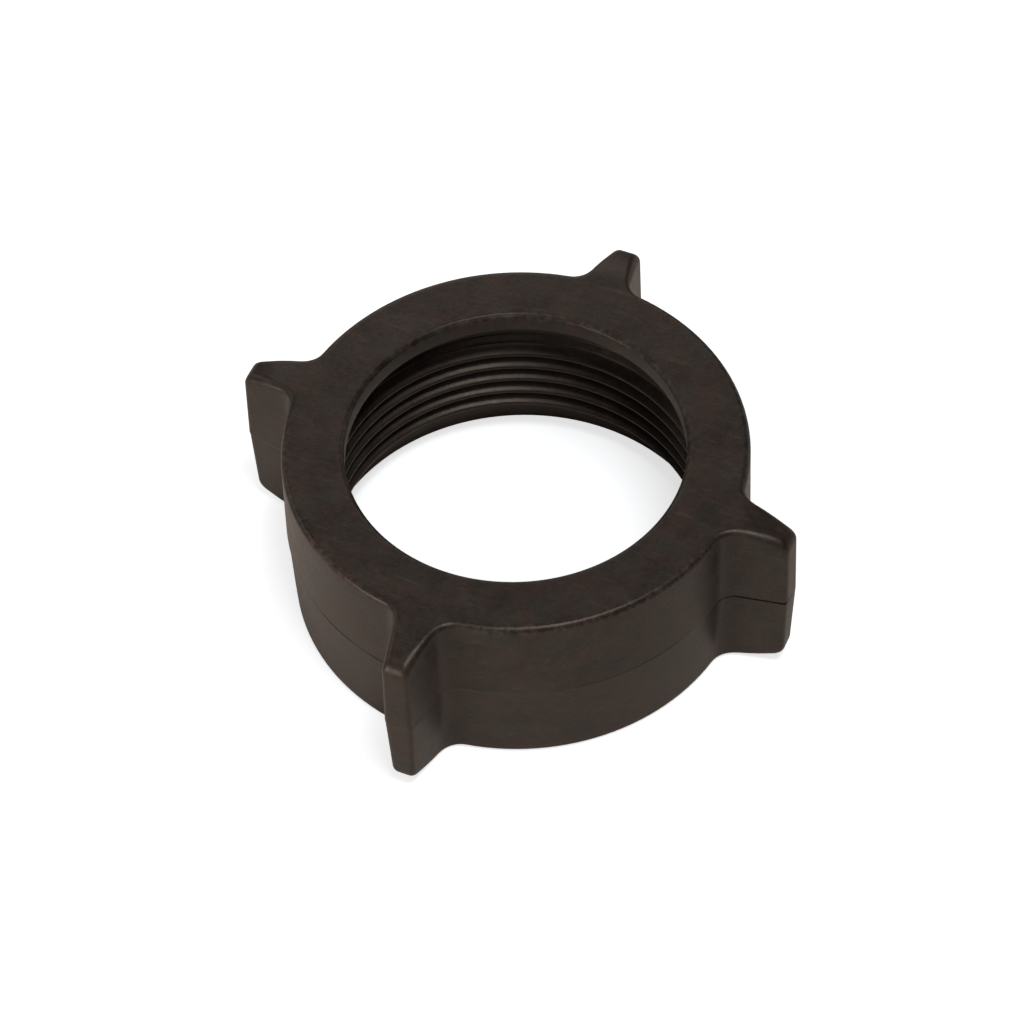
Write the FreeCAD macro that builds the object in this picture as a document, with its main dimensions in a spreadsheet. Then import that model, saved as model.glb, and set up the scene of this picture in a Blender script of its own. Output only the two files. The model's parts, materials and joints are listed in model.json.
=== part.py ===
# Union nut with four lugs: one moulded piece, with a lip that holds a hose tail and an inside thread.
# The nut stands on its open mouth. Z is its axis, the lugs lie on X and Y, and sizes are in millimetres.
import FreeCAD, Part
import Sketcher
import math
import os

doc = FreeCAD.newDocument("union_nut")

# Sizes. The thread's major radius sets the nut's: every other radius is a step in or out from it.
SIZES = [
    ("thread_major", 23.9, "radius at the thread's roots"),
    ("thread_depth", 1.48, "depth of the thread, from its crests to its roots"),
    ("thread_pitch", 2.309, "pitch, eleven turns to the inch"),
    ("thread_half_angle", 27.5, "half the angle between the thread's flanks, degrees"),
    ("thread_lead", 1.7, "height of smooth mouth above the place where the groove starts"),
    ("groove_overlap", 0.5, "reach of the groove's cutter past the crests"),
    ("run_out_angle", 45, "slope from the thread to the smooth walls at its ends, degrees"),
    ("wall", 4.3, "thickness of the ring outside the thread's roots, at the parting line"),
    ("body_height", 24.2, "height of the ring"),
    ("parting_height", 12.2, "height of the parting line above the mouth"),
    ("draft_upper", 0.72, "draft above the parting line, degrees"),
    ("draft_lower", 2.4, "draft below the parting line, degrees"),
    ("lug_count", 4, "number of lugs"),
    ("lug_length", 7.4, "reach of a lug past the ring"),
    ("lug_tip_half", 1.7, "half the width of a lug at its tip"),
    ("lug_taper", 10.4, "angle between a lug's flank and its middle line, degrees"),
    ("lug_root_radius", 2.4, "round between a lug's flank and the ring"),
    ("lug_top_drop", 1.2, "fall of a lug's top before its corner"),
    ("lug_top_corner", 1.3, "round at the top of a lug's tip"),
    ("lug_foot_rise", 1.4, "rise of a lug's underside before its corner"),
    ("lug_foot_corner", 1.2, "round at the foot of a lug's tip"),
    ("lug_flat", 0.3, "flat beyond the ring's edge before a lug starts to curve"),
    ("rim_bevel", 0.45, "bevel along the outer rims"),
    ("lip_overhang", 1.92, "reach of the lip inside the thread's crests"),
    ("lip_depth", 2.6, "thickness of the lip"),
    ("lip_bevel", 0.45, "bevel at the lip's upper edge"),
    ("relief_clearance", 0.1, "step out from the thread's roots to the smooth wall under the lip"),
    ("relief_depth", 4.6, "height of the smooth wall under the lip"),
    ("mouth_clearance", 0.7, "step out from the thread's roots to the mouth's inner end"),
    ("mouth_flare", 0.35, "widening of the mouth from its inner end to its edge"),
    ("mouth_depth", 2.8, "depth of the smooth mouth"),
    ("cut_margin", 3.0, "reach of the gap cutters past the lugs"),
    ("section_turn", 30, "angle from a lug's middle line to the turned section, degrees"),
    ("sharp_angle", 30, "least angle between two faces that is bevelled, degrees"),
]
sheet = doc.addObject("Spreadsheet::Sheet", "sizes")
for row, (name, value, note) in enumerate(SIZES, start=1):
    sheet.set(f"A{row}", name)
    sheet.set(f"B{row}", str(value))
    sheet.setAlias(f"B{row}", name)
    sheet.set(f"C{row}", note)
doc.recompute()
size = {name: value for name, value, note in SIZES}

body = doc.addObject("PartDesign::Body", "nut_body")
body.Label = "union_nut"
body.Placement = FreeCAD.Placement()

# A sketch edge's points, in the order that a constraint numbers them
START, END, CENTRE = range(1, 4)
X_AXIS = -1
ORIGIN = (-1, 1)


def reference(role):
    """The body's own plane or axis with this role."""
    return [feature for feature in body.Origin.OriginFeatures if feature.Role == role][0]


def new_sketch(name, role):
    """A sketch on one of the body's own planes."""
    sketch = body.newObject("Sketcher::SketchObject", name)
    sketch.AttachmentSupport = (reference(role), [""])
    sketch.MapMode = "FlatFace"
    return sketch


def line(sketch, start, end, construction=False):
    """Adds a straight edge and returns its number."""
    edge = Part.LineSegment(FreeCAD.Vector(*start, 0), FreeCAD.Vector(*end, 0))
    return sketch.addGeometry(edge, construction)


def arc(sketch, centre, radius, start, end):
    """Adds an arc that turns counter-clockwise between two angles in degrees, and returns its number."""
    circle = Part.Circle(FreeCAD.Vector(*centre, 0), FreeCAD.Vector(0, 0, 1), radius)
    return sketch.addGeometry(Part.ArcOfCircle(circle, math.radians(start), math.radians(end)))


def rule(sketch, kind, *parts):
    """Adds one constraint and returns its number."""
    return sketch.addConstraint(Sketcher.Constraint(kind, *parts))


def measure(sketch, name, expression, kind, *parts):
    """Adds a named dimension, with its first value last in parts, that then follows the size sheet."""
    sketch.renameConstraint(rule(sketch, kind, *parts), name)
    sketch.setExpression(f"Constraints.{name}", expression)


def join(sketch, kind, edges):
    """Joins each edge's end to the start of the next one in the list."""
    for one, other in zip(edges, edges[1:]):
        rule(sketch, kind, one, END, other, START)


def tangent_of(degrees):
    return math.tan(math.radians(degrees))


def curve_radius(run, fall):
    """Radius of an arc that leaves a flat without a corner and falls this far over this run."""
    return (run ** 2 + fall ** 2) / (2 * fall)


# Radii that follow the thread's, each as a first place and as the rule that holds it to the size sheet
ring = size["thread_major"] + size["wall"]
reach = ring + size["lug_length"]
crest = size["thread_major"] - size["thread_depth"]
hole = crest - size["lip_overhang"]
relief = size["thread_major"] + size["relief_clearance"]
mouth_inner = size["thread_major"] + size["mouth_clearance"]
mouth_edge = mouth_inner + size["mouth_flare"]
RING = "sizes.thread_major + sizes.wall"
REACH = f"{RING} + sizes.lug_length"
CREST = "sizes.thread_major - sizes.thread_depth"
HOLE = f"{CREST} - sizes.lip_overhang"
RELIEF = "sizes.thread_major + sizes.relief_clearance"
MOUTH_INNER = "sizes.thread_major + sizes.mouth_clearance"
MOUTH_EDGE = f"{MOUTH_INNER} + sizes.mouth_flare"

# The turned section: mouth, thread land, relief and lip inside, and a lug's side view outside.
# First places are worked out here, and the dimensions below then hold each edge to the size sheet.
top, parting = size["body_height"], size["parting_height"]
lean_upper, lean_lower = tangent_of(size["draft_upper"]), tangent_of(size["draft_lower"])
top_start = ring - (top - parting) * lean_upper + size["lug_flat"]
foot_start = ring - parting * lean_lower + size["lug_flat"]
tip_top = reach - (top - parting) * lean_upper
tip_foot = reach - parting * lean_lower
top_run = tip_top - size["lug_top_corner"] - top_start
foot_run = tip_foot - size["lug_foot_corner"] - foot_start
top_curve_radius = curve_radius(top_run, size["lug_top_drop"])
foot_curve_radius = curve_radius(foot_run, size["lug_foot_rise"])
top_turn = math.degrees(math.asin(top_run / top_curve_radius))
foot_turn = math.degrees(math.asin(foot_run / foot_curve_radius))
top_corner_height = top - size["lug_top_drop"] - size["lug_top_corner"]
foot_corner_height = size["lug_foot_rise"] + size["lug_foot_corner"]
seat = top - size["lip_depth"]
relief_foot = seat - size["relief_depth"]
run_out_slope = tangent_of(size["run_out_angle"])
land_top = relief_foot - (relief - crest) * run_out_slope
land_foot = size["mouth_depth"] + (mouth_inner - crest) * run_out_slope
bevel_start = (hole + size["lip_bevel"], top)
bevel_end = (hole, top - size["lip_bevel"])

section = new_sketch("section", "XZ_Plane")
turned = FreeCAD.Rotation(FreeCAD.Vector(0, 1, 0), size["section_turn"])
section.AttachmentOffset = FreeCAD.Placement(FreeCAD.Vector(), turned)
section.setExpression("AttachmentOffset.Rotation.Angle", "sizes.section_turn * 1 deg")
foot = line(section, (mouth_edge, 0), (foot_start, 0))
foot_curve = arc(section, (foot_start, foot_curve_radius), foot_curve_radius, -90, foot_turn - 90)
foot_corner = arc(section, (tip_foot - size["lug_foot_corner"], foot_corner_height), size["lug_foot_corner"],
                  foot_turn - 90, -size["draft_lower"])
tip_lower = line(section, (tip_foot, foot_corner_height), (reach, parting))
tip_upper = line(section, (reach, parting), (tip_top, top_corner_height))
top_corner = arc(section, (tip_top - size["lug_top_corner"], top_corner_height), size["lug_top_corner"],
                 size["draft_upper"], 90 - top_turn)
top_curve = arc(section, (top_start, top - top_curve_radius), top_curve_radius, 90 - top_turn, 90)
top_face = line(section, (top_start, top), bevel_start)
bevel = line(section, bevel_start, bevel_end)
lip_wall = line(section, bevel_end, (hole, seat))
seat_face = line(section, (hole, seat), (relief, seat))
relief_wall = line(section, (relief, seat), (relief, relief_foot))
run_out = line(section, (relief, relief_foot), (crest, land_top))
crest_wall = line(section, (crest, land_top), (crest, land_foot))
lead_in = line(section, (crest, land_foot), (mouth_inner, size["mouth_depth"]))
mouth = line(section, (mouth_inner, size["mouth_depth"]), (mouth_edge, 0))

join(section, "Tangent", [foot, foot_curve, foot_corner, tip_lower])
join(section, "Coincident", [tip_lower, tip_upper])
join(section, "Tangent", [tip_upper, top_corner, top_curve, top_face])
join(section, "Coincident", [top_face, bevel, lip_wall, seat_face, relief_wall, run_out, crest_wall,
                             lead_in, mouth, foot])
for flat in (top_face, seat_face):
    rule(section, "Horizontal", flat)
for upright in (lip_wall, relief_wall, crest_wall):
    rule(section, "Vertical", upright)
rule(section, "PointOnObject", foot, START, X_AXIS)
rule(section, "PointOnObject", foot, END, X_AXIS)

TOP_START = (f"{RING} + sizes.lug_flat"
             " - (sizes.body_height - sizes.parting_height) * tan(sizes.draft_upper * 1 deg)")
FOOT_START = f"{RING} + sizes.lug_flat - sizes.parting_height * tan(sizes.draft_lower * 1 deg)"
measure(section, "foot_start", FOOT_START, "DistanceX", *ORIGIN, foot, END, foot_start)
measure(section, "foot_rise", "sizes.lug_foot_rise", "DistanceY", *ORIGIN, foot_curve, END,
        size["lug_foot_rise"])
measure(section, "foot_corner", "sizes.lug_foot_corner", "Radius", foot_corner, size["lug_foot_corner"])
measure(section, "lean_lower", "90 deg - sizes.draft_lower * 1 deg", "Angle", tip_lower,
        math.radians(90 - size["draft_lower"]))
measure(section, "reach", REACH, "DistanceX", *ORIGIN, tip_lower, END, reach)
measure(section, "parting", "sizes.parting_height", "DistanceY", *ORIGIN, tip_lower, END, parting)
measure(section, "lean_upper", "90 deg + sizes.draft_upper * 1 deg", "Angle", tip_upper,
        math.radians(90 + size["draft_upper"]))
measure(section, "top_corner", "sizes.lug_top_corner", "Radius", top_corner, size["lug_top_corner"])
measure(section, "top_drop", "sizes.lug_top_drop", "DistanceY", top_curve, START, top_curve, END,
        size["lug_top_drop"])
measure(section, "top_start", TOP_START, "DistanceX", *ORIGIN, top_face, START, top_start)
measure(section, "top_height", "sizes.body_height", "DistanceY", *ORIGIN, top_face, START, top)
measure(section, "bevel_width", "sizes.lip_bevel", "DistanceX", bevel, END, bevel, START, size["lip_bevel"])
measure(section, "bevel_depth", "sizes.lip_bevel", "DistanceY", bevel, END, bevel, START, size["lip_bevel"])
measure(section, "hole", HOLE, "DistanceX", *ORIGIN, lip_wall, END, hole)
measure(section, "lip_depth", "sizes.lip_depth", "DistanceY", lip_wall, END, top_face, END, size["lip_depth"])
measure(section, "relief", RELIEF, "DistanceX", *ORIGIN, relief_wall, END, relief)
measure(section, "relief_depth", "sizes.relief_depth", "DistanceY", relief_wall, END, relief_wall, START,
        size["relief_depth"])
measure(section, "run_out_slope", "180 deg + sizes.run_out_angle * 1 deg", "Angle", run_out,
        math.radians(180 + size["run_out_angle"]))
measure(section, "crest", CREST, "DistanceX", *ORIGIN, crest_wall, END, crest)
measure(section, "lead_in_slope", "-sizes.run_out_angle * 1 deg", "Angle", lead_in,
        math.radians(-size["run_out_angle"]))
measure(section, "mouth_inner", MOUTH_INNER, "DistanceX", *ORIGIN, lead_in, END, mouth_inner)
measure(section, "mouth_depth", "sizes.mouth_depth", "DistanceY", *ORIGIN, lead_in, END, size["mouth_depth"])
measure(section, "mouth_edge", MOUTH_EDGE, "DistanceX", *ORIGIN, foot, START, mouth_edge)

blank = body.newObject("PartDesign::Revolution", "blank")
blank.Profile = section
blank.ReferenceAxis = (section, ["V_Axis"])
blank.Angle = 360
doc.recompute()

# One gap between two lugs, cut both ways from the parting line, so that each mould half leaves its draft.
# A root round's centre lies one radius off the flank and one radius off the ring.
root = size["lug_root_radius"]
taper = math.radians(size["lug_taper"])
half_gap = 180 / size["lug_count"]
outer = reach + size["cut_margin"]
tip_side = size["lug_tip_half"] - size["cut_margin"] * math.tan(taper)
flank_normal = FreeCAD.Vector(math.sin(taper), math.cos(taper), 0)
flank_way = FreeCAD.Vector(math.cos(taper), -math.sin(taper), 0)
off_axis = flank_normal.dot(FreeCAD.Vector(outer, tip_side, 0)) + root
along = math.sqrt((ring + root) ** 2 - off_axis ** 2)
root_centre = flank_normal * off_axis + flank_way * along
root_turn = math.degrees(math.atan2(root_centre.y, root_centre.x))
flank_foot = root_centre - flank_normal * root
mirror = FreeCAD.Rotation(FreeCAD.Vector(0, 0, 1), 2 * half_gap)


def across(point):
    """The mirror image of a point in the gap's middle line."""
    return mirror.multVec(FreeCAD.Vector(point.x, -point.y, 0))


tip_one = FreeCAD.Vector(outer, tip_side, 0)
tip_two = across(tip_one)
far_corner = FreeCAD.Vector(outer, outer * tangent_of(half_gap), 0)

gap = new_sketch("gap_outline", "XY_Plane")
gap.setExpression("AttachmentOffset.Base.z", "sizes.parting_height")
middle_line = line(gap, (0, 0), far_corner[:2], construction=True)
flank_one = line(gap, tip_one[:2], flank_foot[:2])
root_one = arc(gap, root_centre[:2], root, root_turn + 180, 270 - size["lug_taper"])
ring_wall = arc(gap, (0, 0), ring, root_turn, 2 * half_gap - root_turn)
root_two = arc(gap, across(root_centre)[:2], root, 2 * half_gap + size["lug_taper"] + 90,
               2 * half_gap - root_turn + 180)
flank_two = line(gap, across(flank_foot)[:2], tip_two[:2])
far_side = line(gap, tip_two[:2], far_corner[:2])
near_side = line(gap, far_corner[:2], tip_one[:2])

rule(gap, "Tangent", flank_one, END, root_one, END)
rule(gap, "Tangent", root_one, START, ring_wall, START)
rule(gap, "Tangent", ring_wall, END, root_two, END)
rule(gap, "Tangent", root_two, START, flank_two, START)
join(gap, "Coincident", [flank_two, far_side, near_side, flank_one])
rule(gap, "Coincident", middle_line, START, *ORIGIN)
rule(gap, "Coincident", middle_line, END, near_side, START)
rule(gap, "Coincident", ring_wall, CENTRE, *ORIGIN)
rule(gap, "Symmetric", flank_one, START, flank_two, END, middle_line)
rule(gap, "Vertical", near_side)
rule(gap, "Equal", root_one, root_two)
measure(gap, "half_gap", "180 deg / sizes.lug_count", "Angle", middle_line, math.radians(half_gap))
measure(gap, "ring", RING, "Radius", ring_wall, ring)
measure(gap, "root_radius", "sizes.lug_root_radius", "Radius", root_one, root)
measure(gap, "outer", f"{REACH} + sizes.cut_margin", "DistanceX", *ORIGIN, flank_one, START, outer)
measure(gap, "tip_side", "sizes.lug_tip_half - sizes.cut_margin * tan(sizes.lug_taper * 1 deg)",
        "DistanceY", *ORIGIN, flank_one, START, tip_side)
measure(gap, "taper_one", "180 deg - sizes.lug_taper * 1 deg", "Angle", flank_one, math.pi - taper)
measure(gap, "taper_two", "360 deg / sizes.lug_count + sizes.lug_taper * 1 deg", "Angle", flank_two,
        math.radians(2 * half_gap) + taper)
doc.recompute()

gap_cut = body.newObject("PartDesign::Pocket", "gap_cut")
gap_cut.Profile = gap
gap_cut.SideType = "Two sides"
gap_cut.Type = "Length"
gap_cut.Type2 = "Length"
gap_cut.Reversed = True
gap_cut.setExpression("Length", "sizes.body_height - sizes.parting_height + sizes.cut_margin")
gap_cut.setExpression("Length2", "sizes.parting_height + sizes.cut_margin")
gap_cut.setExpression("TaperAngle", "sizes.draft_upper * 1 deg")
gap_cut.setExpression("TaperAngle2", "sizes.draft_lower * 1 deg")
doc.recompute()

gaps = body.newObject("PartDesign::PolarPattern", "gaps")
gaps.Originals = [gap_cut]
gaps.Axis = (reference("Z_Axis"), [""])
gaps.Angle = 360
gaps.setExpression("Occurrences", "sizes.lug_count")
body.Tip = gaps
doc.recompute()


def corner_angle(faces, point):
    """The angle in degrees between two faces at a point that lies on both."""
    normals = [face.normalAt(*face.Surface.parameter(point)) for face in faces]
    return math.degrees(normals[0].getAngle(normals[1]))


def outer_rims(shape, inner_limit, least_angle):
    """Names of the sharp edges outside a radius: the rims of the ring and the lugs, but no seam."""
    names = []
    for number, edge in enumerate(shape.Edges, start=1):
        middle = edge.valueAt((edge.FirstParameter + edge.LastParameter) / 2)
        faces = shape.ancestorsOfType(edge, Part.Face)
        outside = math.hypot(middle.x, middle.y) > inner_limit
        if outside and len(faces) == 2 and corner_angle(faces, middle) > least_angle:
            names.append(f"Edge{number}")
    return names


# Bevels along the rims of the ring and the lugs
middle_of_wall = (mouth_edge + foot_start) / 2
rims = body.newObject("PartDesign::Chamfer", "rims")
rims.Base = (gaps, outer_rims(gaps.Shape, middle_of_wall, size["sharp_angle"]))
rims.setExpression("Size", "sizes.rim_bevel")
doc.recompute()

# The thread: a right-hand groove, from the smooth mouth to the smooth wall under the lip
GROOVE_START = "sizes.mouth_depth - sizes.thread_lead"
groove_start = size["mouth_depth"] - size["thread_lead"]
groove_inner = crest - size["groove_overlap"]
groove_half = (size["thread_major"] - groove_inner) * tangent_of(size["thread_half_angle"])
groove_root = (size["thread_major"], groove_start)
groove_foot = (groove_inner, groove_start - groove_half)
groove_top = (groove_inner, groove_start + groove_half)

groove = new_sketch("groove_outline", "XZ_Plane")
lower_flank = line(groove, groove_foot, groove_root)
upper_flank = line(groove, groove_root, groove_top)
open_side = line(groove, groove_top, groove_foot)
join(groove, "Coincident", [lower_flank, upper_flank, open_side, lower_flank])
rule(groove, "Vertical", open_side)
measure(groove, "major", "sizes.thread_major", "DistanceX", *ORIGIN, lower_flank, END, size["thread_major"])
measure(groove, "start", GROOVE_START, "DistanceY", *ORIGIN, lower_flank, END, groove_start)
measure(groove, "inner", f"{CREST} - sizes.groove_overlap", "DistanceX", *ORIGIN, open_side, START,
        groove_inner)
measure(groove, "lower_slope", "sizes.thread_half_angle * 1 deg", "Angle", lower_flank,
        math.radians(size["thread_half_angle"]))
measure(groove, "upper_slope", "180 deg - sizes.thread_half_angle * 1 deg", "Angle", upper_flank,
        math.radians(180 - size["thread_half_angle"]))
doc.recompute()

# The groove ends level with the foot of the smooth wall, whatever its pitch. Its crest stays in one face
# a turn, because a face of many turns can't be cut again.
GROOVE_HEIGHT = f"sizes.body_height - sizes.lip_depth - sizes.relief_depth - ({GROOVE_START})"
thread = body.newObject("PartDesign::SubtractiveHelix", "thread")
thread.Profile = groove
thread.ReferenceAxis = (groove, ["V_Axis"])
thread.Mode = "pitch-height-angle"
thread.setExpression("Pitch", "sizes.thread_pitch")
thread.setExpression("Height", GROOVE_HEIGHT)
thread.LeftHanded = False
thread.Reversed = False
thread.Refine = False
body.Tip = thread
doc.recompute()

# Each cut must take material away, and the end must be one valid solid
for item in doc.Objects:
    if "Invalid" in item.State or "Error" in item.State:
        raise RuntimeError(f"{item.Name} did not build")
stages = [blank, gap_cut, gaps, rims, thread]
for before, after in zip(stages, stages[1:]):
    if after.Shape.Volume >= before.Shape.Volume:
        raise RuntimeError(f"{after.Name} cut nothing")
if body.Shape.isNull() or not body.Shape.isValid() or len(body.Shape.Solids) != 1:
    raise RuntimeError("the nut is not one valid solid")

os.makedirs("parts", exist_ok=True)
body.Shape.exportStep(f"parts/{body.Label}.step")
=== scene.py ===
import json
import math

import bpy
import numpy as np
from mathutils import Matrix, Vector


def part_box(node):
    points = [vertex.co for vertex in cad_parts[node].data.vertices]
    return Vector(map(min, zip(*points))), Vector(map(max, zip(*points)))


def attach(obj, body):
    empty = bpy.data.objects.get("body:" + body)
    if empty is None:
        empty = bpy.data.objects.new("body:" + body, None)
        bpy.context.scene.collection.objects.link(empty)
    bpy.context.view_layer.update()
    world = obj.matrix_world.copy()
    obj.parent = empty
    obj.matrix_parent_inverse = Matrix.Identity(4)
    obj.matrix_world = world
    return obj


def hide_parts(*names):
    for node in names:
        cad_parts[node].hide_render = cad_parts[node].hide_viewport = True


# A union nut in near-black moulded plastic, standing on its open mouth on a white table.
# The nut's sizes are in millimetres until its mesh is made, and Z is its axis.
MM = 0.001

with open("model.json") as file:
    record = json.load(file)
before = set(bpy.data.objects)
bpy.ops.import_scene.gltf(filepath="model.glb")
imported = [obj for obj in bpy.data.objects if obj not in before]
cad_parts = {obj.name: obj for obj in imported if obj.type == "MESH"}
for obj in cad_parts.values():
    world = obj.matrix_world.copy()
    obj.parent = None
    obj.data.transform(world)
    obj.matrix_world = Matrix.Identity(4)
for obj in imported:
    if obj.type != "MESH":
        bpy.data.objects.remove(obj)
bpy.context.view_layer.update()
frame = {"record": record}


def mount(name):
    """One of the nut's stated working faces."""
    return next(m for m in frame["record"]["mounts"] if m["name"] == name)


def height_of(name):
    """Height of a working face's middle, in millimetres."""
    return mount(name)["pos_m"][2] / MM


# Sizes that the solid states
_, far_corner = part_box("union_nut")
TOP = far_corner.z / MM
REACH = far_corner.x / MM
SEAT = height_of("seat")
HOLE = mount("lip_bore")["dims"]["r_mm"]
CREST = mount("thread")["dims"]["r_mm"]
LAND_HALF = mount("thread")["dims"]["length_mm"] / 2
LAND_FOOT = height_of("thread") - LAND_HALF
LAND_TOP = height_of("thread") + LAND_HALF

# Sizes of the ring and its lugs
RING = 28.2
PARTING = 12.2
DRAFT_UPPER = math.tan(math.radians(0.72))
DRAFT_LOWER = math.tan(math.radians(2.4))
LUGS = 4
TIP_HALF = 1.7
TAPER = math.radians(10.4)
ROOT_ROUND = 2.4
RIM_ROUND = 0.77
LUG_FLAT = 0.3
TOP_DROP = 1.0
TOP_CORNER = 2.0
FOOT_RISE = 0.9
FOOT_CORNER = 2.3

# Rounds at a lug's upright edges and where its outline turns round the top and the foot of the tip, the
# length over which that round shrinks to the rim's, and how far the tip's rows lean back along the flank
UPRIGHT_ROUND = 0.65
CAP_ROUND = 1.2
CAP_FADE = 6.5
ROW_LEAN = 1.2

# The parting line: a ledge, because the mould's lower half lay a little off towards one side, and a crease
# in places. Creases and changes of the ledge are given as bearing, half width in degrees, and depth.
CREASE_HALF = 0.2
CREASES = ((354.0, 5.0, 0.5), (241.0, 17.0, 0.25))
LEDGE = 0.06
LEDGE_SHIFT = 0.06
LEDGE_BEARING = math.radians(185)
LEDGE_FADE = 9.0
LOCAL_LEDGES = ((354.0, 5.0, 0.16), (187.0, 5.5, -0.06), (320.0, 20.0, -0.06), (267.0, 7.0, -0.065),
                (290.0, 12.0, -0.025))

# Sizes inside the nut
LIP_BEVEL = 0.45
LIP_ROUND = 0.12
RELIEF = 24.0
RELIEF_FOOT = 17.0
THREAD_MAJOR = 23.9
THREAD_PITCH = 2.309
THREAD_FLANK = math.tan(math.radians(27.5))
THREAD_ROOT = 0.385
THREAD_START = 1.1
THREAD_ROOT_ROUND = 0.1
THREAD_EDGE = 0.05
MOUTH_INNER = 24.6
MOUTH_EDGE = 24.95
MOUTH_DEPTH = 2.8
MOUTH_ROUND = 0.2

# Columns of half a lug and half a gap, from the lug's middle line
TIP_COLUMNS = 4
CORNER_COLUMNS = 7
FLANK_COLUMNS = 18
ROOT_COLUMNS = 8
RING_COLUMNS = 14

# Rows over a rim, up each half of the wall, over the top face and under the foot, points on a small round's
# curve, and rounds in which the turn of a lug's side view is found
RIM_ROWS = 9
WALL_ROWS = 7
FACE_ROWS = 22
FOOT_ROWS = 14
CURVE_STEPS = 5
TURN_ROUNDS = 30

# Places of rows: off the parting line, and the strip of flat beside a rounded edge. Above the relief's foot
# its own line ends and the bore's rows start, THREAD_ROW apart and drawn by ROW_DRAW towards the crests.
# The flank's columns start partly evenly along it, by EVEN_START, and for the rest crowded to the tip.
CREASE_STEPS = (0.04, 0.11, 0.2, 0.28)
EDGE_STRIP = 0.5
RELIEF_LINE_END = 0.4
BORE_START = 0.3
THREAD_ROW = 0.12
ROW_DRAW = 0.2
EVEN_START = 0.4


def ramp(count, first=False):
    """Evenly spaced values up to one, from zero itself or from the step after it."""
    values = np.linspace(0.0, 1.0, count + 1)
    return values if first else values[1:]


def eased(share):
    """Runs from 0 to 1 without a corner: 3 s^2 - 2 s^3."""
    share = np.clip(share, 0.0, 1.0)
    return share ** 2 * (3 - 2 * share)


def local(bearing, bumps):
    """Sum of bumps depth * exp(-(a / width)^4), with a the angle from each one's middle, in degrees."""
    off = [(bearing - middle + 180) % 360 - 180 for middle, width, depth in bumps]
    return sum(depth * np.exp(-(a / width) ** 4) for a, (middle, width, depth) in zip(off, bumps))


# The lug's side view

def lug_side(start, tip, fall, corner):
    """Side view of a lug's top or underside: an arc that leaves the flat at start, falls by fall, and meets
    a smaller arc that turns into the tip. The turn at the meeting follows from tan(turn / 2) = fall / run,
    found in rounds, and bend is the length of the smaller arc."""
    turn = 0.0
    for _ in range(TURN_ROUNDS):
        run = tip - corner - start + corner * math.sin(turn)
        turn = 2 * math.atan(fall / run)
    return {"start": start, "radius": run / math.sin(turn), "turn": turn, "corner": corner,
            "centre": tip - corner, "depth": fall + corner * math.cos(turn),
            "bend": corner * (math.pi / 2 - turn)}


def side_fall(side, radius, inset):
    """Depth under the flat face at a radius, with the side view's flat and large arc moved in by inset."""
    over = np.clip(radius - side["start"], 0.0, None)
    return side["radius"] - np.sqrt((side["radius"] - inset) ** 2 - over ** 2)


def side_place(side, run):
    """Place on the side view at a length run from the tip's upright face: radius, depth under the flat face
    and elevation of the normal. First comes the corner's arc, then the large one."""
    cornered = run < side["bend"]
    large_lean = math.pi / 2 - side["turn"] + (run - side["bend"]) / side["radius"]
    lean = np.where(cornered, run / side["corner"], large_lean)
    radius = np.where(cornered, side["centre"] + side["corner"] * np.cos(lean),
                      side["start"] + side["radius"] * np.cos(lean))
    fall = np.where(cornered, side["depth"] - side["corner"] * np.sin(lean),
                    side["radius"] * (1 - np.sin(lean)))
    return radius, fall, lean


TOP_START = RING - (TOP - PARTING) * DRAFT_UPPER + LUG_FLAT
TOP_TIP = REACH - (TOP - PARTING - TOP_DROP - TOP_CORNER) * DRAFT_UPPER
TOP_SIDE = lug_side(TOP_START, TOP_TIP, TOP_DROP, TOP_CORNER)
FOOT_START = RING - PARTING * DRAFT_LOWER + LUG_FLAT
FOOT_TIP = REACH - (PARTING - FOOT_RISE - FOOT_CORNER) * DRAFT_LOWER
FOOT_SIDE = lug_side(FOOT_START, FOOT_TIP, FOOT_RISE, FOOT_CORNER)

# The plan outline of half a lug and half a gap

FLANK_NORMAL = np.array([math.sin(TAPER), math.cos(TAPER)])
FLANK_WAY = np.array([math.cos(TAPER), -math.sin(TAPER)])
FLANK_PLACE = float(FLANK_NORMAL @ [REACH, TIP_HALF])
ROOT_PLACE = FLANK_PLACE + ROOT_ROUND
ROOT_ALONG = math.sqrt((RING + ROOT_ROUND) ** 2 - ROOT_PLACE ** 2)
ROOT_CENTRE = FLANK_NORMAL * ROOT_PLACE + FLANK_WAY * ROOT_ALONG
ROOT_ANGLE = math.atan2(ROOT_CENTRE[1], ROOT_CENTRE[0])
HALF_TURN = math.pi / LUGS


def wall_inward(z):
    """Draft: how far the wall stands inside the parting line's outline at a height."""
    return np.where(z > PARTING, (z - PARTING) * DRAFT_UPPER, (PARTING - z) * DRAFT_LOWER)


def ring_plan(into):
    """Plan of the root's arc, about its fixed centre, and of the ring's arc, with every point moved inwards
    by into."""
    first, last = 1.5 * math.pi - TAPER, math.pi + ROOT_ANGLE
    turn = first + (last - first) * ramp(ROOT_COLUMNS)
    root = ROOT_ROUND + into[:, :ROOT_COLUMNS]
    ring = RING - into[:, ROOT_COLUMNS:]
    swing = ROOT_ANGLE + (HALF_TURN - ROOT_ANGLE) * ramp(RING_COLUMNS)
    return (np.hstack([ROOT_CENTRE[0] + root * np.cos(turn), ring * np.cos(swing)]),
            np.hstack([ROOT_CENTRE[1] + root * np.sin(turn), ring * np.sin(swing)]))


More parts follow.
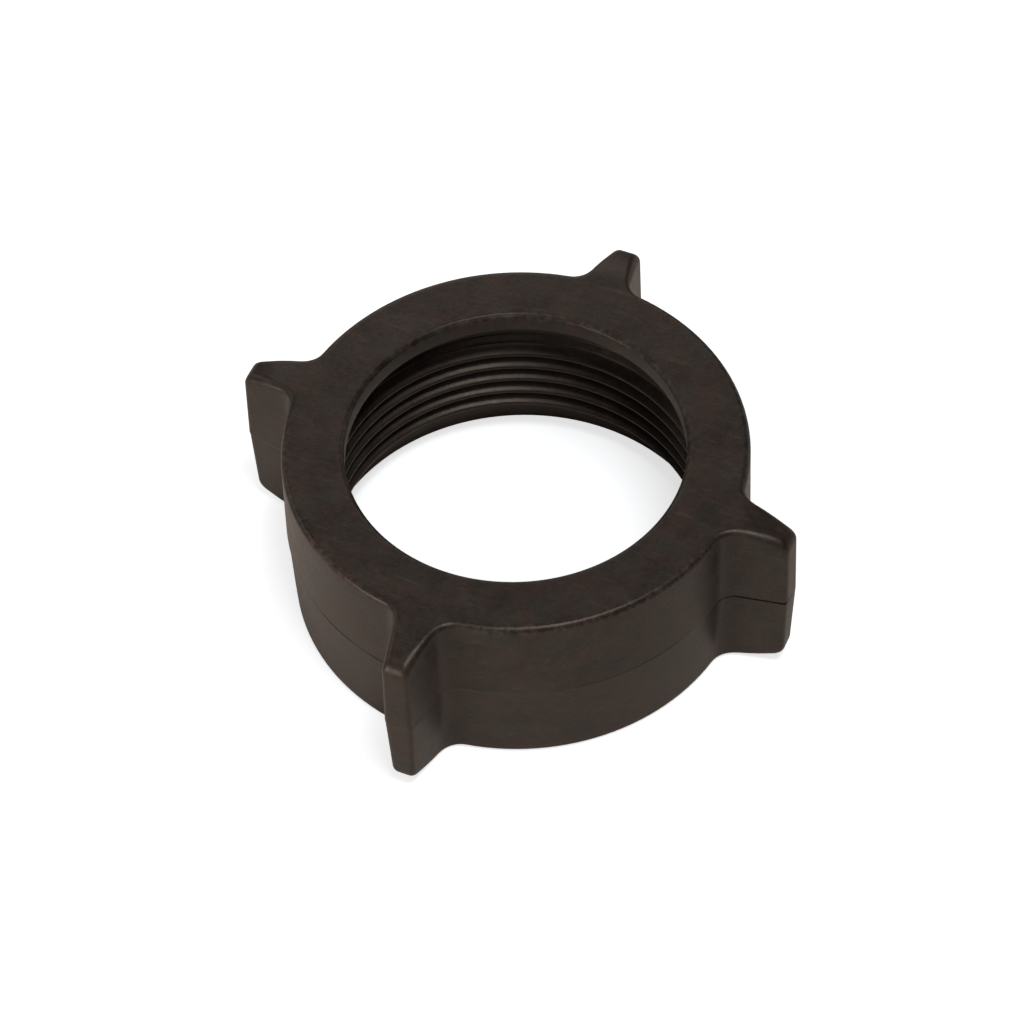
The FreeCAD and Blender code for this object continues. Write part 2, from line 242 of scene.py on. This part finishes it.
def ball_at(side, run):
    """Radius of the ball that rounds a lug's edge, at a length run along the side view: it grows over the
    corner's arc from the upright edge's to the cap's, and then shrinks to the rim's."""
    rise, fall = eased(run / side["bend"]), eased((run - side["bend"]) / CAP_FADE)
    return UPRIGHT_ROUND + (CAP_ROUND - UPRIGHT_ROUND) * rise + (RIM_ROUND - CAP_ROUND) * fall


def rolled(place, ball, sweep, inward):
    """Point on the round that a ball leaves between a lug's flank and its side view, at a place on the side
    view. The ball's centre lies one radius inside both, and the point one radius from the centre, in the
    direction that swings from the flank's normal, sweep 0, to the side view's, sweep 1. Returns x, y and
    the depth under the flat face."""
    radius, fall, lean = place
    off = FLANK_PLACE - inward - ball
    out = radius - ball * np.cos(lean)
    along = np.sqrt(out ** 2 - off ** 2)
    centre_x = FLANK_NORMAL[0] * off + FLANK_WAY[0] * along
    centre_y = FLANK_NORMAL[1] * off + FLANK_WAY[1] * along
    side_x, side_y = np.cos(lean) * centre_x / out, np.cos(lean) * centre_y / out
    between = np.arccos(FLANK_NORMAL[0] * side_x + FLANK_NORMAL[1] * side_y)
    flank_share = ball * np.sin((1 - sweep) * between) / np.sin(between)
    side_share = ball * np.sin(sweep * between) / np.sin(between)
    return (centre_x + flank_share * FLANK_NORMAL[0] + side_share * side_x,
            centre_y + flank_share * FLANK_NORMAL[1] + side_share * side_y,
            fall + ball * np.sin(lean) - side_share * np.sin(lean))


def tip_columns(place, ball, inward):
    """The tip's own columns, evenly spaced in angle from the lug's middle line to the round's start."""
    x, y, _ = rolled(place, ball, 1.0, inward)
    angle = np.arctan2(y, x) * ramp(TIP_COLUMNS, True)
    return place[0] * np.cos(angle), place[0] * np.sin(angle), place[1] * np.ones_like(angle)


def rim_rows(side, z_of):
    """Rows over one outer rim, from the wall inwards, with t from 0 to 1. On the tip they follow the side
    view. On the corner and flank the ball's place runs along the side view while its point sweeps over.
    On the root and ring they step in by round * (1 - cos) under a side view moved in by round * (1 - sin)."""
    t = ramp(RIM_ROWS, True)[:, None]
    bend = side["bend"]
    out = math.hypot(FLANK_PLACE - RIM_ROUND, ROOT_ALONG)
    last = bend + side["radius"] * (math.acos((out - side["start"]) / (side["radius"] - RIM_ROUND))
                                    - math.pi / 2 + side["turn"])
    tip_inward = wall_inward(z_of(side["depth"]))

    run = bend * t
    tip = tip_columns(side_place(side, run), ball_at(side, run), tip_inward)

    share = ramp(CORNER_COLUMNS)
    run = t * (bend + share * ROW_LEAN)
    corner = rolled(side_place(side, run), ball_at(side, run), 1 - share + share * t, tip_inward)

    share = ramp(FLANK_COLUMNS)
    start = last * (EVEN_START * share + (1 - EVEN_START) * share ** 2)
    end = bend + ROW_LEAN + (last - bend - ROW_LEAN) * share
    start_depth = rolled(side_place(side, start), ball_at(side, start), 0.0, 0.0)[2]
    run = start + (end - start) * t
    flank = rolled(side_place(side, run), ball_at(side, run), t, wall_inward(z_of(start_depth)))

    turn = math.pi / 2 * t
    into = wall_inward(z_of(RIM_ROUND)) + RIM_ROUND * (1 - np.cos(turn))
    x, y = ring_plan(into * np.ones(ROOT_COLUMNS + RING_COLUMNS))
    ring = x, y, side_fall(side, np.hypot(x, y), RIM_ROUND * (1 - np.sin(turn)))
    x, y, depth = [np.hstack(parts) for parts in zip(tip, corner, flank, ring)]
    return x, y, z_of(depth)


def wall_rows(foot, head):
    """Rows between the outermost ones of two rims, crowded about the parting line. The flank's columns
    slide evenly from their place at the foot to that at the head, and every column keeps to its drafted
    wall."""
    low, high = foot[2], head[2]
    steps = np.array(CREASE_STEPS)[:, None]
    under, over = PARTING - CREASE_STEPS[-1], PARTING + CREASE_STEPS[-1]
    below = low + (under - low) * ramp(WALL_ROWS)[:-1, None]
    above = over + (high - over) * ramp(WALL_ROWS, True)[1:-1, None]
    level = np.ones_like(low)
    z = np.vstack([below, (PARTING - steps[::-1]) * level, (PARTING + steps) * level, above])
    inward = wall_inward(z)

    tip_inward = inward[:, :1]
    upright = REACH - tip_inward, 0.0, 0.0
    tip = tip_columns(upright, UPRIGHT_ROUND, tip_inward)
    corner = rolled(upright, UPRIGHT_ROUND, 1 - ramp(CORNER_COLUMNS), tip_inward)

    first = TIP_COLUMNS + 1 + CORNER_COLUMNS
    on_flank = slice(first, first + FLANK_COLUMNS)
    share = ((z - low) / (high - low))[:, on_flank]
    foot_along, head_along = [(FLANK_WAY[0] * r[0] + FLANK_WAY[1] * r[1])[:, on_flank] for r in (foot, head)]
    along = foot_along + (head_along - foot_along) * share
    off = FLANK_PLACE - inward[:, on_flank]
    flank = [n * off + w * along for n, w in zip(FLANK_NORMAL, FLANK_WAY)]

    ring = ring_plan(inward[:, first + FLANK_COLUMNS:])
    return [np.hstack(parts) for parts in zip(tip[:2], corner[:2], flank, ring)] + [z]


def outer_rows():
    """The outside of half a lug and half a gap, from the foot of the ring up its wall to the top face."""
    foot = rim_rows(FOOT_SIDE, lambda depth: depth)
    head = rim_rows(TOP_SIDE, lambda depth: TOP - depth)
    wall = wall_rows([f[:1] for f in foot], [h[:1] for h in head])
    return [np.vstack([f[::-1], w, h]) for f, w, h in zip(foot, wall, head)]


def stand_back(x, y, z):
    """Moves the outside back along its normal in plan: at the parting line by the creases, and below it by
    the ledge, LEDGE + LEDGE_SHIFT * cos(bearing of the normal - LEDGE_BEARING) and its changes, that fades
    towards the foot."""
    across, along = [np.roll(a, -1, 1) - np.roll(a, 1, 1) for a in (x, y)]
    length = np.hypot(across, along)
    normal_x, normal_y = along / length, -across / length
    facing, bearing = np.arctan2(normal_y, normal_x), np.degrees(np.arctan2(y, x))
    ledge = LEDGE + LEDGE_SHIFT * np.cos(facing - LEDGE_BEARING) + local(bearing, LOCAL_LEDGES)
    below = np.clip((PARTING + CREASE_HALF / 2 - z) / CREASE_HALF, 0, 1)
    fade = np.clip(1 - (PARTING - z) / LEDGE_FADE, 0, 1)
    crease = local(bearing, CREASES) * np.clip(1 - np.abs(z - PARTING) / CREASE_HALF, 0, 1)
    back = ledge * below * fade + crease
    return x - normal_x * back, y - normal_y * back, z


def around(half):
    """Half a lug and half a gap, mirrored in the lug's middle line and repeated round the axis."""
    x, y, z = [np.hstack([sign * a[:, -2:0:-1], a]) for a, sign in zip(half, (1, -1, 1))]
    turns = 2 * HALF_TURN * np.arange(LUGS)
    return (np.hstack([x * math.cos(t) - y * math.sin(t) for t in turns]),
            np.hstack([x * math.sin(t) + y * math.cos(t) for t in turns]),
            np.hstack([z] * LUGS))


# The inside

def rounded(points, reach):
    """A line through points (radius, height) with each inner corner rounded: from reach before the corner to
    reach after it along a curve (1-t)^2 a + 2t(1-t) corner + t^2 b."""
    points = np.asarray(points, float)
    before, corner, after = points[:-2], points[1:-1], points[2:]
    back = (before - corner) / np.linalg.norm(before - corner, axis=1)[:, None]
    on = (after - corner) / np.linalg.norm(after - corner, axis=1)[:, None]
    t = np.linspace(0.0, 1.0, CURVE_STEPS)[None, :, None]
    a, b, c = (corner + back * reach)[:, None], (corner + on * reach)[:, None], corner[:, None]
    curves = (1 - t) ** 2 * a + 2 * t * (1 - t) * c + t ** 2 * b
    return np.vstack([points[:1], curves.reshape(-1, 2), points[-1:]])


def turned(line, columns):
    """Radius and height of a line's points, the same in every column."""
    return [np.repeat(line[:, n:n + 1], columns, 1) for n in range(2)]


def thread_climb(z, angle):
    """Height above the middle of the groove's first turn, which climbs one pitch a turn."""
    return z - THREAD_START - THREAD_PITCH * angle / (2 * math.pi)


def crowded(z, angle):
    """Heights of the bore's rows, drawn towards the thread's crests: z + a * sin(2 pi climb / pitch)."""
    fade = np.clip((z - MOUTH_DEPTH) / THREAD_PITCH, 0, 1) * np.clip((RELIEF_FOOT - z) / THREAD_PITCH, 0, 1)
    return z + ROW_DRAW * fade * np.sin(2 * math.pi * thread_climb(z, angle) / THREAD_PITCH)


def thread_radius(z, angle):
    """Radius of the threaded bore. The bare bore is the mouth's cone, a slope in to the crests, the crests
    and a slope out to the relief. The groove has a flat root and two flanks, with p the way past the root's
    edge: major - (p + sqrt(p^2 + r^2)) / 2 / slope. The larger of the two is taken with a rounded edge."""
    bare = np.interp(z, [0.0, MOUTH_DEPTH, LAND_FOOT, LAND_TOP, RELIEF_FOOT, SEAT],
                     [MOUTH_EDGE, MOUTH_INNER, CREST, CREST, RELIEF, RELIEF])
    off = (thread_climb(z, angle) + THREAD_PITCH / 2) % THREAD_PITCH - THREAD_PITCH / 2
    past = np.abs(off) - THREAD_ROOT / 2
    groove = THREAD_MAJOR - (past + np.sqrt(past ** 2 + THREAD_ROOT_ROUND ** 2)) / 2 / THREAD_FLANK
    return (bare + groove + np.sqrt((bare - groove) ** 2 + 4 * THREAD_EDGE ** 2)) / 2


def inner_rows(angle, foot_x, foot_y):
    """The inside from the top face's inner edge down to the foot: bevel, lip, seat and relief turned round
    the axis, the threaded bore, the mouth's edge, and the foot out to the first outer row at the side
    view's height."""
    lip = rounded([(HOLE + LIP_BEVEL + EDGE_STRIP, TOP), (HOLE + LIP_BEVEL, TOP), (HOLE, TOP - LIP_BEVEL),
                   (HOLE, SEAT), (RELIEF, SEAT), (RELIEF, RELIEF_FOOT + RELIEF_LINE_END)], LIP_ROUND)
    edge = rounded([(MOUTH_EDGE, MOUTH_DEPTH), (MOUTH_EDGE, 0.0), (MOUTH_EDGE + EDGE_STRIP, 0.0)],
                   MOUTH_ROUND)[1:]
    level = np.arange(RELIEF_FOOT + BORE_START, MOUTH_ROUND, -THREAD_ROW)[:, None]
    bore = crowded(level, angle)
    lip_radius, lip_height = turned(lip, len(angle))
    edge_radius, edge_height = turned(edge, len(angle))
    radius = np.vstack([lip_radius, thread_radius(bore, angle), edge_radius])
    height = np.vstack([lip_height, bore, edge_height])
    x, y = radius * np.cos(angle), radius * np.sin(angle)
    t = ramp(FOOT_ROWS)[:-1, None]
    under_x, under_y = x[-1] + (foot_x - x[-1]) * t, y[-1] + (foot_y - y[-1]) * t
    under = side_fall(FOOT_SIDE, np.hypot(under_x, under_y), 0.0)
    return np.vstack([x, under_x]), np.vstack([y, under_y]), np.vstack([height, under])


def nut_surface():
    """The whole nut as one closed grid, rows up the outside, over the top and down the inside, and columns
    round the axis. The top face's rows run straight towards the axis, at the side view's height."""
    half = outer_rows()
    rim = np.hypot(half[0][-1], half[1][-1])
    bearing = np.arctan2(half[1][-1], half[0][-1])
    radius = rim + (HOLE + LIP_BEVEL + EDGE_STRIP - rim) * ramp(FACE_ROWS)[:-1, None]
    face = radius * np.cos(bearing), radius * np.sin(bearing), TOP - side_fall(TOP_SIDE, radius, 0.0)
    outside = stand_back(*around([np.vstack([a, b]) for a, b in zip(half, face)]))
    angle = np.arctan2(outside[1][-1], outside[0][-1]) % (2 * math.pi)
    inside = inner_rows(angle, outside[0][0], outside[1][0])
    return np.stack([np.vstack([a, b]) for a, b in zip(outside, inside)], axis=-1)


def closed_grid(name, grid):
    """A mesh from a grid that closes on itself both ways, in metres, smooth and facing outwards."""
    rows, columns = grid.shape[:2]
    index = np.arange(rows * columns).reshape(rows, columns)
    right, up = np.roll(index, -1, 1), np.roll(index, -1, 0)
    faces = np.stack([index, right, np.roll(right, -1, 0), up], axis=-1).reshape(-1, 4)
    mesh = bpy.data.meshes.new(name)
    mesh.from_pydata((grid.reshape(-1, 3) * MM).tolist(), [], faces.tolist())
    mesh.polygons.foreach_set("use_smooth", np.ones(len(faces), bool))
    mesh.update()
    piece = bpy.data.objects.new(name, mesh)
    bpy.context.scene.collection.objects.link(piece)
    return piece


# Shader nodes

class Shade:
    """A node's output socket, on which +, -, * and abs build Math nodes."""

    def __init__(self, nodes, socket):
        self.nodes, self.socket = nodes, socket

    def maths(self, operation, *values):
        return self.nodes.add("ShaderNodeMath", {"operation": operation}, dict(enumerate(values)))

    def __add__(self, other):
        return self.maths("ADD", self, other)

    def __sub__(self, other):
        return self.maths("SUBTRACT", self, other)

    def __rsub__(self, other):
        return self.maths("SUBTRACT", other, self)

    def __mul__(self, other):
        return self.maths("MULTIPLY", self, other)

    def __abs__(self):
        return self.maths("ABSOLUTE", self)

    def root(self):
        return self.maths("SQRT", self)

    __radd__, __rmul__ = __add__, __mul__


class Nodes:
    """The cleared node tree of a material or a world."""

    def __init__(self, holder):
        holder.use_nodes = True
        self.tree = holder.node_tree
        self.tree.nodes.clear()

    def add(self, kind, settings=None, inputs=None, output=0):
        """Adds a node: its settings first, then the values or links of its sockets. Returns one output, or
        none for a node that has no outputs."""
        made = self.tree.nodes.new(kind)
        for name, value in (settings or {}).items():
            setattr(made, name, value)
        for name, value in (inputs or {}).items():
            if isinstance(value, Shade):
                self.tree.links.new(value.socket, made.inputs[name])
            else:
                made.inputs[name].default_value = value
        return Shade(self, made.outputs[output]) if made.outputs else None

    def noise(self, place, scale, detail, roughness):
        """Noise at a place."""
        return self.add("ShaderNodeTexNoise", None,
                        {"Vector": place, "Scale": scale, "Detail": detail, "Roughness": roughness})

    def spread(self, value, limits, results=(0.0, 1.0)):
        """Maps a value between two limits onto two results, and holds it there outside."""
        return self.add("ShaderNodeMapRange", None,
                        {"Value": value, "From Min": limits[0], "From Max": limits[1],
                         "To Min": results[0], "To Max": results[1]})

    def mix_colour(self, share, one, other):
        """A colour between two, by share. The Mix node has its colours at inputs 6 and 7 and output 2."""
        return self.add("ShaderNodeMix", {"data_type": "RGBA"}, {0: share, 6: one, 7: other}, 2)

    def diffuse(self, colour):
        """A plain matt surface."""
        return self.add("ShaderNodeBsdfDiffuse", None, {"Color": colour})

    def mix_shader(self, share, one, other):
        """A surface between two, by share."""
        return self.add("ShaderNodeMixShader", None, {0: share, 1: one, 2: other})

    def camera_ray(self):
        """One where the camera itself sees, and zero for all other light."""
        return self.add("ShaderNodeLightPath", output="Is Camera Ray")


WHITE = 1.0, 1.0, 1.0, 1.0
FALLING = 1.0, 0.0

# The plastic's noises, each as scale, detail and roughness, and the range that clouds and specks use
CLOUDS = 260.0, 4.0, 0.7
PATCHES = 290.0, 2.0, 0.5
SPECKS = 1400.0, 3.0, 0.65
GRAIN = 3000.0, 2.0, 0.5
SCUFFS = 230.0, 5.0, 0.7
MIDDLE = 0.36, 0.64

# The plastic's colours, where a patch turns from one into the other, how its shade is made up and how far
# it runs
REDDISH = 0.0320, 0.0230, 0.0203, 1.0
GREENISH = 0.0266, 0.0246, 0.0214, 1.0
PATCH_TURN = 0.42, 0.58
CLOUD_IN_SHADE = 0.65
SPECK_IN_SHADE = 0.25
GRAIN_IN_SHADE = 0.1
SHADES = 0.65, 1.33

# Scuffs: how they are turned and stretched, where they start and are full, and how pale and matt they are
SCUFF_TURN = 0.3, 0.2, 0.9
SCUFF_STRETCH = 1.0, 7.0, 4.0
SCUFF_SHOWS = 0.57, 0.75
SCUFF_PALE = 0.8
SCUFF_MATT = 0.05

# The plastic's sheen, and its moulded grain, with the depth in metres
CLOUD_IN_SHEEN = 0.6
SPECK_IN_SHEEN = 0.4
SHEEN = 0.33, 0.43
SPECULAR = 0.33
SPECULAR_TINT = 1.0, 0.88, 0.81, 1.0
GRAIN_IN_BUMP = 0.3
SPECK_IN_BUMP = 0.7
BUMP_STRENGTH = 0.5
BUMP_DEPTH = 0.00009

# Painted shade in the front of the parting line, where its ledge throws shadow: how far it reaches above
# and below the line, and where it starts along Y and, on one lug and on the wall, along X, in metres; then
# how dark it is, and its share on the wall
SEAM_HALF = 0.0002, 0.00034
SEAM_FRONT = -0.0014, -0.001
SEAM_LUG = 0.0288, 0.0298
SEAM_WALL_FROM = -0.025, -0.019
SEAM_WALL_TO = -0.006, -0.004
SEAM_DARK = 0.9
SEAM_WALL_FADE = 0.3, 0.0
# The near-black colour of the painted shade in the parting line
SEAM_SHADE_COLOUR = 0.004, 0.0035, 0.003, 1.0

# Wear along the upper rims, with painted highlights and painted shade: distances from the axis, the height
# from which it shows and how far it stays from a lug's middle line, in metres; then the specks that paint the
# beaded highlights, how pale they are and how dark the painted shade between
RIM_FROM = 0.0270, 0.0276
LIP_TO = 0.0208, 0.0212
RIM_HEIGHT = 0.0231, 0.0236
LUG_SIDE = 0.0045, 0.0065
RIM_HIGHLIGHT_SHOWS = 0.44, 0.6
RIM_HIGHLIGHT_PALE = 0.7
RIM_SHADE_DARK = 0.14


def painted_seam_shade(nodes, across, along, rise):
    """Share of painted shade in the parting line, where its ledge throws shadow: in the front of one lug and
    faintly on the wall beside another.
    """
    near_seam = nodes.spread(abs(rise - PARTING * MM), SEAM_HALF, FALLING)
    in_front = nodes.spread(along, SEAM_FRONT, FALLING)
    on_lug = nodes.spread(across, SEAM_LUG)
    on_wall = nodes.spread(across, SEAM_WALL_FROM) * nodes.spread(across, SEAM_WALL_TO, SEAM_WALL_FADE)
    return near_seam * in_front * (on_lug + on_wall) * SEAM_DARK


def rim_wear_highlights_and_shade(nodes, speck, across, along, rise):
    """What the upper rims add to the shade: pale specks, partly wear and partly painted highlights, on a line
    of painted shade along the ring's and the lip's upper rim.
    """
    axis_distance = (across * across + along * along).root()
    beside_lugs = nodes.spread(abs(across), LUG_SIDE) * nodes.spread(abs(along), LUG_SIDE)
    on_rim = nodes.spread(axis_distance, RIM_FROM) * beside_lugs
    on_lip = nodes.spread(axis_distance, LIP_TO, FALLING)
    specks = nodes.spread(speck, RIM_HIGHLIGHT_SHOWS) * RIM_HIGHLIGHT_PALE - RIM_SHADE_DARK
    return (on_rim + on_lip) * nodes.spread(rise, RIM_HEIGHT) * specks


def moulded_plastic():
    """Near-black plastic with a warm cast: patches a little redder and greener, faint clouds, an uneven
    sheen, short pale scuffs, a fine moulded grain, wear with painted highlights and painted shade along the
    upper rims, and painted shade in the parting line."""
    material = bpy.data.materials.new("moulded_plastic")
    nodes = Nodes(material)
    place = nodes.add("ShaderNodeTexCoord", output="Object")
    across, along, rise = [nodes.add("ShaderNodeSeparateXYZ", None, {"Vector": place}, n) for n in range(3)]
    cloud, patch = nodes.noise(place, *CLOUDS), nodes.noise(place, *PATCHES)
    speck, grain = nodes.noise(place, *SPECKS), nodes.noise(place, *GRAIN)
    stretched = nodes.add("ShaderNodeMapping", None,
                          {"Vector": place, "Rotation": SCUFF_TURN, "Scale": SCUFF_STRETCH})
    scuff = nodes.spread(nodes.noise(stretched, *SCUFFS), SCUFF_SHOWS)

    hue = nodes.mix_colour(nodes.spread(patch, PATCH_TURN), REDDISH, GREENISH)
    mottle = cloud * CLOUD_IN_SHADE + speck * SPECK_IN_SHADE + grain * GRAIN_IN_SHADE
    # The shade takes the upper rims' wear with painted highlights and painted shade
    shade = (nodes.spread(mottle, MIDDLE, SHADES) + scuff * SCUFF_PALE
             + rim_wear_highlights_and_shade(nodes, speck, across, along, rise))
    colour = nodes.add("ShaderNodeVectorMath", {"operation": "SCALE"}, {0: hue, "Scale": shade})
    roughness = (nodes.spread(cloud * CLOUD_IN_SHEEN + speck * SPECK_IN_SHEEN, MIDDLE, SHEEN)
                 + scuff * SCUFF_MATT)
    bump = nodes.add("ShaderNodeBump", None, {"Strength": BUMP_STRENGTH, "Distance": BUMP_DEPTH,
                                              "Height": grain * GRAIN_IN_BUMP + speck * SPECK_IN_BUMP})
    plastic = nodes.add("ShaderNodeBsdfPrincipled", None,
                        {"Base Color": colour, "Roughness": roughness, "Normal": bump,
                         "Specular IOR Level": SPECULAR, "Specular Tint": SPECULAR_TINT})
    # Painted shade: a dark matt surface mixed in along the parting line, where its ledge throws shadow
    seam_shaded = nodes.mix_shader(painted_seam_shade(nodes, across, along, rise), plastic, nodes.diffuse(SEAM_SHADE_COLOUR))
    nodes.add("ShaderNodeOutputMaterial", None, {"Surface": seam_shaded})
    return material


# The stage, in metres: the table's half width, its height under the nut, its colour as a card that throws
# light back and as paint that the camera sees, and the paint's own glow
TABLE_HALF = 0.45
TABLE_TOP = -2e-5
CARD = 0.85, 0.80, 0.75, 1.0
PAINT = 0.72, 0.80, 0.87, 1.0
GLOW = 0.69

# Lamps: their distance, two sizes and two colours, then each as name, bearing from +X and elevation in
# degrees, size, colour and power. The world adds a little even light.
LAMP_DISTANCE = 0.9
LARGE_BOX = 0.45, 0.35
THREAD_BOX = 0.3, 0.14
WARM = 1.0, 0.885, 0.81
PLAIN = 1.0, 0.96, 0.92
LAMPS = (("left_box", 240, 8, LARGE_BOX, WARM, 4.2), ("top_box", 345, 80, LARGE_BOX, WARM, 0.85),
         ("thread_box", 330, 74, THREAD_BOX, PLAIN, 2.6), ("camera_box", 300, 55, LARGE_BOX, WARM, 0.75),
         ("back_box", 120, 30, LARGE_BOX, WARM, 1.0), ("shine_box", 115, 50, LARGE_BOX, WARM, 0.1),
         ("front_box", 270, 8, LARGE_BOX, WARM, 0.5), ("far_left_box", 180, 30, LARGE_BOX, WARM, 0.75),
         ("far_box", 60, 8, LARGE_BOX, WARM, 0.42))
EVEN_LIGHT = 0.005

# The camera sees nothing nearer than this
CLIP_START = 0.01


def white_table():
    """A pale table that throws light back like cream card, and to the camera reads white where nothing
    shades it. There its paint is a little cool, so that the shadows in warm light stay plain grey."""
    material = bpy.data.materials.new("white_table")
    nodes = Nodes(material)
    glow = nodes.add("ShaderNodeEmission", None, {"Color": WHITE, "Strength": GLOW})
    paint = nodes.add("ShaderNodeAddShader", None, {0: nodes.diffuse(PAINT), 1: glow})
    table = nodes.mix_shader(nodes.camera_ray(), nodes.diffuse(CARD), paint)
    nodes.add("ShaderNodeOutputMaterial", None, {"Surface": table})
    return material


def add_table():
    """A flat table just under the nut."""
    corners = [(x * TABLE_HALF, y * TABLE_HALF, TABLE_TOP) for x, y in ((-1, -1), (1, -1), (1, 1), (-1, 1))]
    mesh = bpy.data.meshes.new("table")
    mesh.from_pydata(corners, [], [(0, 1, 2, 3)])
    table = bpy.data.objects.new("table", mesh)
    bpy.context.scene.collection.objects.link(table)
    table.data.materials.append(white_table())


def add_camera(azimuth, elevation, roll, lens, distance, across, up):
    """The photograph's camera. It looks along azimuth from +Y and down by elevation, turned by roll, and the
    nut's origin lies distance away along its view, across to the right and up."""
    a, e, r = [math.radians(v) for v in (azimuth, elevation, roll)]
    view = Vector((-math.sin(a) * math.cos(e), math.cos(a) * math.cos(e), -math.sin(e)))
    level = Vector((math.cos(a), math.sin(a), 0.0))
    rise = level.cross(view)
    right = level * math.cos(r) + rise * math.sin(r)
    top = rise * math.cos(r) - level * math.sin(r)
    camera = bpy.data.objects.new("camera", bpy.data.cameras.new("camera"))
    camera.data.lens = lens
    camera.data.clip_start = CLIP_START
    place = -(right * across + top * up + view * distance)
    turn = Matrix((right, top, -view)).transposed().to_4x4()
    camera.matrix_world = Matrix.Translation(place) @ turn
    bpy.context.scene.collection.objects.link(camera)
    bpy.context.scene.camera = camera


def add_soft_box(name, bearing, elevation, size, colour, power):
    """A rectangular lamp aimed at the nut."""
    b, e = math.radians(bearing), math.radians(elevation)
    way = Vector((math.cos(b) * math.cos(e), math.sin(b) * math.cos(e), math.sin(e)))
    lamp = bpy.data.lights.new(name, "AREA")
    lamp.shape = "RECTANGLE"
    lamp.size, lamp.size_y = size
    lamp.energy = power
    lamp.color = colour
    box = bpy.data.objects.new(name, lamp)
    turn = way.to_track_quat("Z", "Y").to_matrix().to_4x4()
    box.matrix_world = Matrix.Translation(way * LAMP_DISTANCE) @ turn
    bpy.context.scene.collection.objects.link(box)


def set_world():
    """Even light for everything but the camera, which sees white."""
    world = bpy.data.worlds.new("world")
    nodes = Nodes(world)
    even = nodes.add("ShaderNodeBackground", None, {"Color": WHITE, "Strength": EVEN_LIGHT})
    white = nodes.add("ShaderNodeBackground", None, {"Color": WHITE, "Strength": 1.0})
    both = nodes.mix_shader(nodes.camera_ray(), even, white)
    nodes.add("ShaderNodeOutputWorld", None, {"Surface": both})
    bpy.context.scene.world = world


nut = closed_grid("nut", nut_surface())
nut.data.materials.append(moulded_plastic())
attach(nut, "root")
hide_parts("union_nut")

add_table()
add_camera(azimuth=25.36, elevation=50.99, roll=-2.50, lens=149.75, distance=0.52684, across=0.001066,
           up=-0.007118)
for lamp in LAMPS:
    add_soft_box(*lamp)
set_world()
bpy.context.scene.view_settings.view_transform = "Standard"
